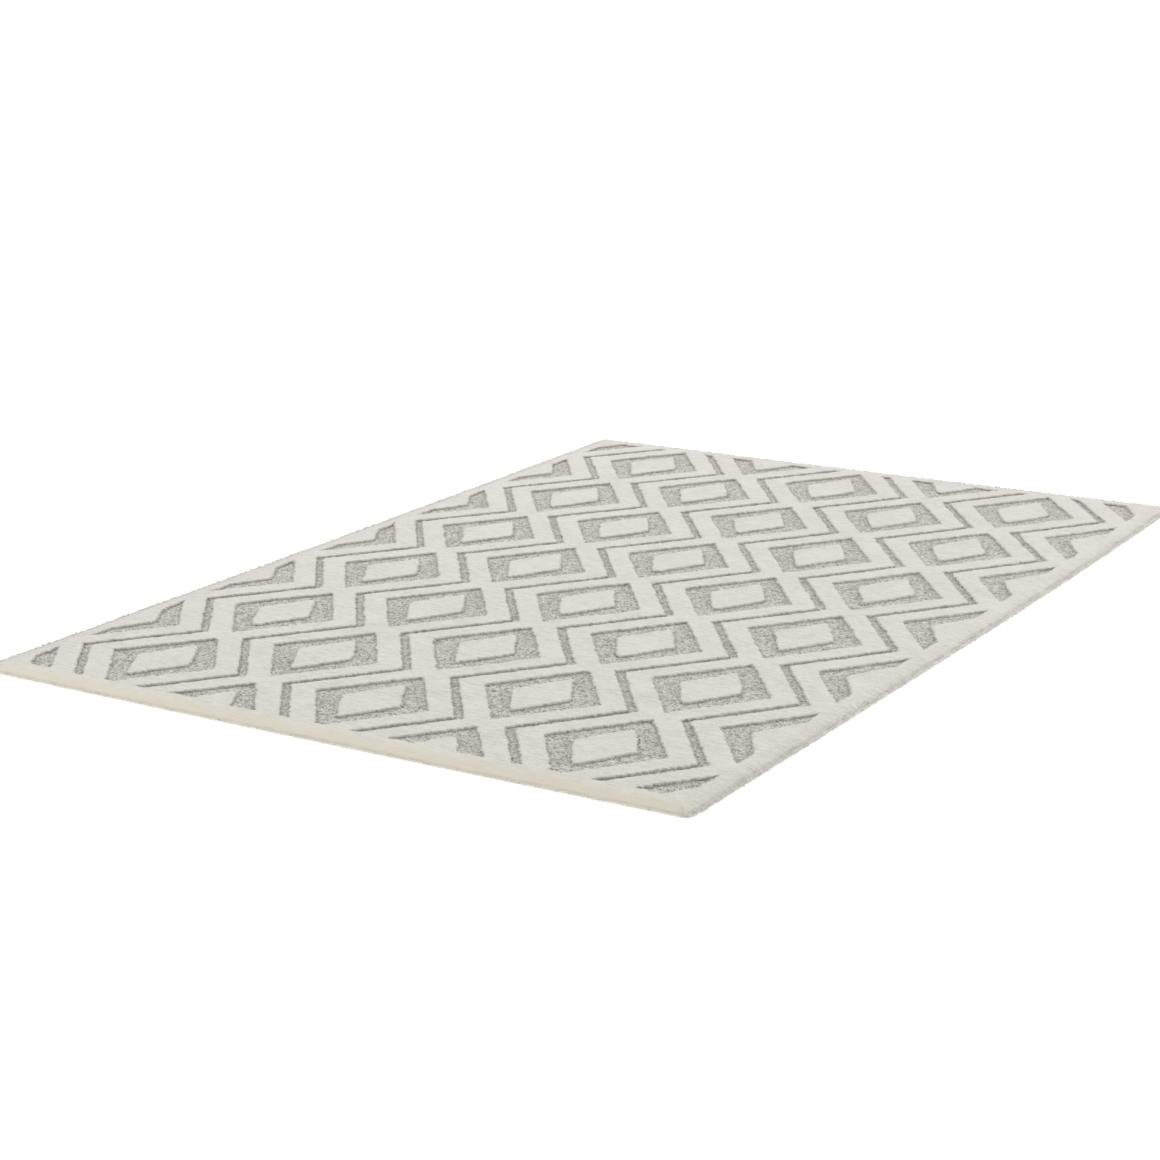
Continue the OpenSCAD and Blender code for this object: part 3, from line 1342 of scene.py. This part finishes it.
    def rolled(
        self, rim: Array, used: Array, tops: Array, start: int, feet: Array, plain: Array,
        wisps: Wisps,
    ) -> tuple[Array, Array, Array, Array, Array]:
        """The rolled edge below a piece's stretch of the rim.

        Args:
            rim: The outline's edges on the rim, as pairs of points.
            used: The net's number of each point.
            tops: Where the piece's points are.
            start: The number of the first new point.
            feet: The number of the point at the foot below each point.
            plain: The outline's other edges.
            wisps: Where its loose ends are added.

        Returns:
            New points, their normals, edge numbers, numbers of painted shade and specks, and faces.
        """
        outs, ups, tilts = self.skirt()
        rows = outs.shape[1]
        around = np.unique(rim)
        out = self.out[used[around]]
        endness = np.abs(out[:, 1:]) ** 2
        reach, level, tilt = (
            line[0] * (1 - endness) + line[1] * endness for line in (outs, ups, tilts)
        )
        level[:, :-3] = self.fuller(level[:, :-3], out)
        wobble = self.hem_bumps.over(tops[around, 0], tops[around, 1])
        fade = np.sin(np.linspace(0.3, math.pi, rows - 3))
        reach = reach + wobble[:, None] * np.append(fade, [0.0, 0.0, 0.0])
        xy = tops[around, None, :2] + out[:, None, :] * reach[:, :, None]
        placed = np.concatenate([xy, level[:, :, None]], 2)
        flat = np.sqrt(1 - tilt**2)
        lean = np.concatenate([out[:, None, :] * flat[:, :, None], tilt[:, :, None]], 2)
        warm = endness * (out[:, 1:] < 0) * np.linspace(self.warm_most, 0.0, rows)
        # Painted shade and grey yarn specks over the rolled edge.
        dark = self.hem_shade_and_specks(tops[around, 0], endness, rows, wisps.random)
        self.strands(placed, lean, out, endness[:, 0], wisps)
        place = np.zeros(len(used), int)
        place[around] = start + rows * np.arange(len(around))
        ladder = np.vstack([np.arange(len(used)), place + np.arange(rows)[:, None], feet])
        faces = self.ladder_faces(ladder, rim, plain)
        return placed.reshape(-1, 3), lean.reshape(-1, 3), warm.ravel(), dark.ravel(), faces

    def hem_shade_and_specks(
        self, x: Array, endness: Array, rows: int, random: np.random.Generator
    ) -> Array:
        """The rolled edge's painted shade and specks: painted shade at the sides, mottled and darker
        towards the foot; specks of grey yarn at the ends, and dark specks at the corners.

        Args:
            x: Places along the hem.
            endness: 0 at the sides and 1 at the ends.
            rows: How many rows the rolled edge has.
            random: The random numbers.

        Returns:
            The share of painted shade and specks, point by point and row by row.
        """
        shade = np.append(np.linspace(0.0, 1.0, rows - 3) ** 2, [0.9, 0.9, 0.9])
        mottle = random.uniform(0.5, 1.5, (len(x), rows))
        # Painted shade at the sides, mottled and darker towards the foot; grey yarn specks at the
        # ends and dark specks at the corners.
        dark = (0.11 + shade * 0.12) * (1 - endness) * mottle
        corner = 4 * endness * (1 - endness) * random.uniform(0, 1, (len(x), rows))
        return np.clip(dark + 0.8 * endness * self.specks(x, rows) + 0.7 * corner * shade, 0, 1)

    def strands(
        self, placed: Array, lean: Array, out: Array, endness: Array, wisps: Wisps
    ) -> None:
        """Adds loose strands all over the rolled edge, which reach up and outwards.

        A strand's root is anywhere between two rows above the hem. Most are short, and more
        stand where the nap leans out.

        Args:
            placed: The edge's points, point by point and row by row.
            lean: Their normals.
            out: Which way is outwards at each point.
            endness: 0 at the sides and 1 at the ends.
            wisps: Where they are added.
        """
        random, rows = wisps.random, placed.shape[1] - 4
        pick = np.repeat(np.arange(len(placed)), self.strand_chances)
        away = np.clip(out[pick, 1] - out[pick, 0], 0, 1)
        pick = pick[random.uniform(0, 1, len(pick)) < 0.5 + 0.4 * away]
        count = len(pick)
        k = (rows * random.uniform(0, 1, count) ** 0.7).astype(int)
        f = random.uniform(0, 1, (count, 1))
        roots = placed[pick, k] * (1 - f) + placed[pick, k + 1] * f
        sideways = np.stack([-out[pick, 1], out[pick, 0]], 1)
        roots[:, :2] += sideways * random.uniform(-0.5, 0.5, (count, 1)) * self.tuft
        front = endness[pick] * (out[pick, 1] < 0)
        rise = 1.6 - 2.6 * k / rows + random.normal(0, 0.5, count)
        flat_way = out[pick] + sideways * random.normal(0.25, 0.5, (count, 1))
        ways = np.hstack([flat_way, rise[:, None]])
        ways /= np.linalg.norm(ways, axis=1, keepdims=True)
        short, long = self.strand_length
        length = short + (long - short) * random.uniform(0, 1, count) ** 1.5
        length *= 1 - 0.55 * front
        grown = lean[pick, k]
        # Painted shade on each strand, at random and less at the front end.
        shade_and_specks = random.uniform(0, 1, count) ** 3 * 0.3 * (1 - 0.8 * front)
        roots = roots - grown * self.buried
        wisps.add(roots, ways, length, self.strand_w, grown, shade_and_specks, front * 0.4)

    def ladder_faces(self, ladder: Array, rim: Array, plain: Array) -> Array:
        """The rolled edge's faces, and those that close it where a neighbour's edge starts.

        Args:
            ladder: The number of each point on top, in each row below it and at the foot.
            rim: The outline's edges on the rim, as pairs of points.
            plain: The outline's other edges.

        Returns:
            The triangles.
        """
        a, b = rim[:, 1], rim[:, 0]
        faces = [self.walls(high[a], high[b], low[b], low[a])
                 for high, low in zip(ladder[:-1], ladder[1:])]
        starts = np.intersect1d(rim[:, 0], plain[:, 1])
        ends = np.intersect1d(rim[:, 1], plain[:, 0])
        foot = ladder[-1]
        for high, low in zip(ladder[:-2], ladder[1:-1]):
            faces.append(np.stack([foot[starts], low[starts], high[starts]], 1))
            faces.append(np.stack([foot[ends], high[ends], low[ends]], 1))
        return np.concatenate(faces)

    @staticmethod
    def close(made: bpy.types.Object) -> None:
        """Fills the open outline at a piece's foot with flat triangles that face down.

        Args:
            made: The piece.
        """
        mesh = bmesh.new()
        mesh.from_mesh(made.data)
        open_edges = [e for e in mesh.edges if e.is_boundary]
        bmesh.ops.triangle_fill(mesh, use_beauty=False, edges=open_edges, normal=(0, 0, -1))
        mesh.to_mesh(made.data)
        mesh.free()
        made.data.shade_smooth()

    def build(self) -> None:
        """Makes every piece of pile."""
        regions = self.lattice.regions(self.mid_x, self.mid_y, self.is_cream)
        for name, chosen in regions.items():
            self.piece(name, chosen, Slot.GREY if name.startswith("grey") else Slot.CREAM)


# ---------------------------------------------------------------- the cloth and its edges


@dataclass
class FlatPiece:
    """A flat closed piece, such as a tape: a grid on top, a grid below, and walls."""

    node: str
    slot: Slot
    grid: float

    def surface(self) -> Surface:
        """Top and bottom grids over the node's box, and a wall round them.

        Returns:
            The surface.
        """
        low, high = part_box(self.node)
        nx = max(2, round((high.x - low.x) / self.grid))
        ny = max(2, round((high.y - low.y) / self.grid))
        x, y = np.meshgrid(
            np.linspace(low.x, high.x, nx + 1), np.linspace(low.y, high.y, ny + 1), indexing="ij"
        )
        top, bottom = (
            np.stack([x, y, np.full(x.shape, z)], -1).reshape(-1, 3) for z in (high.z, low.z)
        )
        index = np.arange(x.size).reshape(x.shape)
        a, b, c, d = (index[:-1, :-1], index[1:, :-1], index[1:, 1:], index[:-1, 1:])
        upper = np.stack([a, b, c, d], -1).reshape(-1, 4)
        lower = upper[:, ::-1] + x.size
        ring = np.concatenate([index[:-1, 0], index[-1, :-1], index[:0:-1, -1], index[0, :0:-1]])
        after = np.roll(ring, -1)
        sides = np.stack([ring, ring + x.size, after + x.size, after], 1)
        return Surface(np.vstack([top, bottom]), np.vstack([upper, lower, sides]))

    def build(self) -> bpy.types.Object:
        """Makes the piece and dresses it.

        Returns:
            The piece.
        """
        surface = self.surface()
        self.mark(surface)
        made = surface.put(self.node)
        made.data.set_sharp_from_angle(angle=math.radians(40))
        return Piece.dress(made, self.slot, self.node)

    def mark(self, surface: Surface) -> None:
        """Adds what numbers the finish needs: none on a plain piece."""


@dataclass
class BackCoat(FlatPiece):
    """The coated back, where the grey yarn shows faintly, and blurred over `blur`."""

    lattice: Lattice
    blur: float = 6.0 * MM

    def mark(self, surface: Surface) -> None:
        """Marks where the pile above is grey, from 0 to 1.

        Args:
            surface: The piece's surface.
        """
        x, y = surface.points[:, 0], surface.points[:, 1]
        into_grey = -self.lattice.cream(x, y)
        surface.numbers["grey_yarn"] = np.clip(into_grey / self.blur + 0.5, 0, 1)


@dataclass
class SideBinding:
    """Yarn overlocked round the cloth's side, turn by turn."""

    node: str
    turn: float = 3.0 * MM
    ridge: float = 0.35 * MM
    wear: float = 0.4
    step: float = 1.0 * MM
    sides: int = 12
    square: float = 0.7

    def build(self) -> bpy.types.Object:
        """A closed tube along the side, whose section is half a round and half a square.

        The section is a superellipse, of the cosine and the sine to the power `square`. Its
        reach is cut by the ridges' grooves, which go round as a helix: their phase grows along
        the rug and round the section.

        Returns:
            The piece.
        """
        low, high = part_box(self.node)
        centre = ((low.x + high.x) / 2, (low.z + high.z) / 2)
        half = ((high.x - low.x) / 2, (high.z - low.z) / 2)
        rows = round((high.y - low.y) / self.step)
        y, angle = np.meshgrid(
            np.linspace(low.y, high.y, rows + 1),
            np.arange(self.sides) * 2 * math.pi / self.sides,
            indexing="ij",
        )
        phase = y / self.turn + angle / (2 * math.pi)
        groove = np.abs(2 * (phase - np.round(phase)))
        cut = self.ridge * (groove**2 + self.wear * np.abs(ripple(y, angle, self.turn, Seed.BINDING)))
        cos, sin = np.cos(angle), np.sin(angle)
        x = centre[0] + np.sign(cos) * np.abs(cos) ** self.square * (half[0] - cut)
        z = centre[1] + np.sign(sin) * np.abs(sin) ** self.square * (half[1] - cut)
        points = np.stack([x, y, z], -1).reshape(-1, 3)
        tips = np.array([[centre[0], low.y, centre[1]], [centre[0], high.y, centre[1]]])
        index = np.arange(y.size).reshape(y.shape)
        after = np.roll(index, -1, 1)
        wall = np.stack([index[:-1], index[1:], after[1:], after[:-1]], -1).reshape(-1, 4)
        front = np.stack([index[0], after[0], np.full(self.sides, y.size)], 1)
        back = np.stack([after[-1], index[-1], np.full(self.sides, y.size + 1)], 1)
        # Its numbers are painted shade, darkest in the grooves between the turns.
        surface = Surface(
            np.vstack([points, tips]),
            np.vstack([wall[:, [0, 1, 2]], wall[:, [0, 2, 3]], front, back]),
            numbers={"shade_and_specks": np.append(groove.ravel() ** 2, [0.5, 0.5])},
        )
        made = surface.put(self.node)
        mesh = bmesh.new()
        mesh.from_mesh(made.data)
        bmesh.ops.recalc_face_normals(mesh, faces=mesh.faces)
        mesh.to_mesh(made.data)
        mesh.free()
        made.data.shade_smooth()
        return Piece.dress(made, Slot.BINDING, self.node)


# ---------------------------------------------------------------- the studio


@dataclass(frozen=True)
class Softbox:
    """A round soft light that looks at the rug's middle, with its power in watts."""

    name: str
    power: float
    size: float
    place: tuple[float, float, float]

    def build(self) -> None:
        """Hangs the light at its place and turns it to the middle."""
        lamp = bpy.data.lights.new(self.name, "AREA")
        lamp.shape = "DISK"
        lamp.size = self.size
        lamp.energy = self.power
        made = bpy.data.objects.new(self.name, lamp)
        made.location = self.place
        made.rotation_euler = Vector(self.place).to_track_quat("Z", "Y").to_euler()
        bpy.context.scene.collection.objects.link(made)


@dataclass
class Studio:
    """Pale floor, soft light and the camera."""

    eye: tuple[float, float, float] = (2.7334, -4.4639, 1.5015)
    aim: tuple[float, float, float] = (-0.1308, -0.0223, 0.0)
    roll: float = -1.077
    lens: float = 77.39
    floor: Colour = (0.90, 0.90, 0.90)
    floor_half: float = 60.0
    glow: float = 0.55
    sky: float = 0.57
    boxes: tuple[Softbox, ...] = (
        Softbox("soft_key", 450.0, 6.0, (-6.0, 3.4, 6.2)),
        Softbox("side_fill", 60.0, 1.2, (4.2, 0.6, 0.7)),
        Softbox("front_fill", 24.0, 1.2, (-0.9, -4.8, 0.6)),
    )

    def build(self) -> None:
        """Makes the floor, the lights and the camera."""
        self.make_floor()
        self.make_light()
        self.make_camera()

    def make_floor(self) -> None:
        """One square of floor under the rug, pale and a little lit from within."""
        half = self.floor_half
        corners = np.array([[-half, -half, 0], [half, -half, 0], [half, half, 0], [-half, half, 0]])
        made = Surface(corners, np.array([[0, 1, 2, 3]])).put("studio_floor")
        material = bpy.data.materials.new("studio_floor")
        material.use_nodes = True
        shader = material.node_tree.nodes["Principled BSDF"]
        shader.inputs["Base Color"].default_value = (*self.floor, 1.0)
        shader.inputs["Roughness"].default_value = 1.0
        shader.inputs["Specular IOR Level"].default_value = 0.0
        shader.inputs["Emission Color"].default_value = (1.0, 1.0, 1.0, 1.0)
        shader.inputs["Emission Strength"].default_value = self.glow
        made.data.materials.append(material)
        made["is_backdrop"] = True

    def make_light(self) -> None:
        """An even sky, a large softbox behind on the left, and two small low ones in front."""
        world = bpy.data.worlds.new("studio_sky")
        world.use_nodes = True
        sky = world.node_tree.nodes["Background"]
        sky.inputs["Color"].default_value = (1.0, 1.0, 1.0, 1.0)
        sky.inputs["Strength"].default_value = self.sky
        bpy.context.scene.world = world
        for box in self.boxes:
            box.build()
        bpy.context.scene.view_settings.view_transform = "Standard"

    def make_camera(self) -> None:
        """A camera that looks from eye to aim, rolled about its axis."""
        lens = bpy.data.cameras.new("camera")
        lens.lens = self.lens
        lens.sensor_width = 36.0
        made = bpy.data.objects.new("camera", lens)
        away = Vector(self.eye) - Vector(self.aim)
        turn = away.to_track_quat("Z", "Y").to_matrix().to_4x4()
        made.matrix_world = (
            Matrix.Translation(self.eye) @ turn @ Matrix.Rotation(math.radians(self.roll), 4, "Z")
        )
        bpy.context.scene.collection.objects.link(made)
        bpy.context.scene.camera = made


# ---------------------------------------------------------------- the rug


@dataclass
class Rug:
    """The whole rug, piece by piece."""

    coat_grid: float = 9.0 * MM
    tape_grid: float = 9.0 * MM
    cloth_grid: float = 30.0 * MM

    def build(self) -> None:
        """Makes the pile, the coat, the tapes, the cloth and the bindings."""
        low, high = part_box("ground_weave")
        Surface.lie = Lie((high.x, high.y))
        lattice = Lattice.from_frame()
        PileField(lattice).build()
        BackCoat("back_coating", Slot.COAT, self.coat_grid, lattice).build()
        for end in ("front", "back"):
            FlatPiece(f"{end}_hem_tape", Slot.TAPE, self.tape_grid).build()
        cloth = FlatPiece("ground_weave", Slot.CLOTH, self.cloth_grid).build()
        for side in ("left", "right"):
            SideBinding(f"{side}_side_binding").build()


def corners() -> list[list[float]]:
    """The shown object's lowest and highest corners, as plain lists."""
    return [list(map(float, corner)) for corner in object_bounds()]


def main() -> None:
    """Builds the rug and the studio."""
    logging.basicConfig(level=logging.INFO, format="%(name)s %(message)s")
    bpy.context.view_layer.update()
    Studio().build()
    Rug().build()


if __name__ == "__main__":
    main()
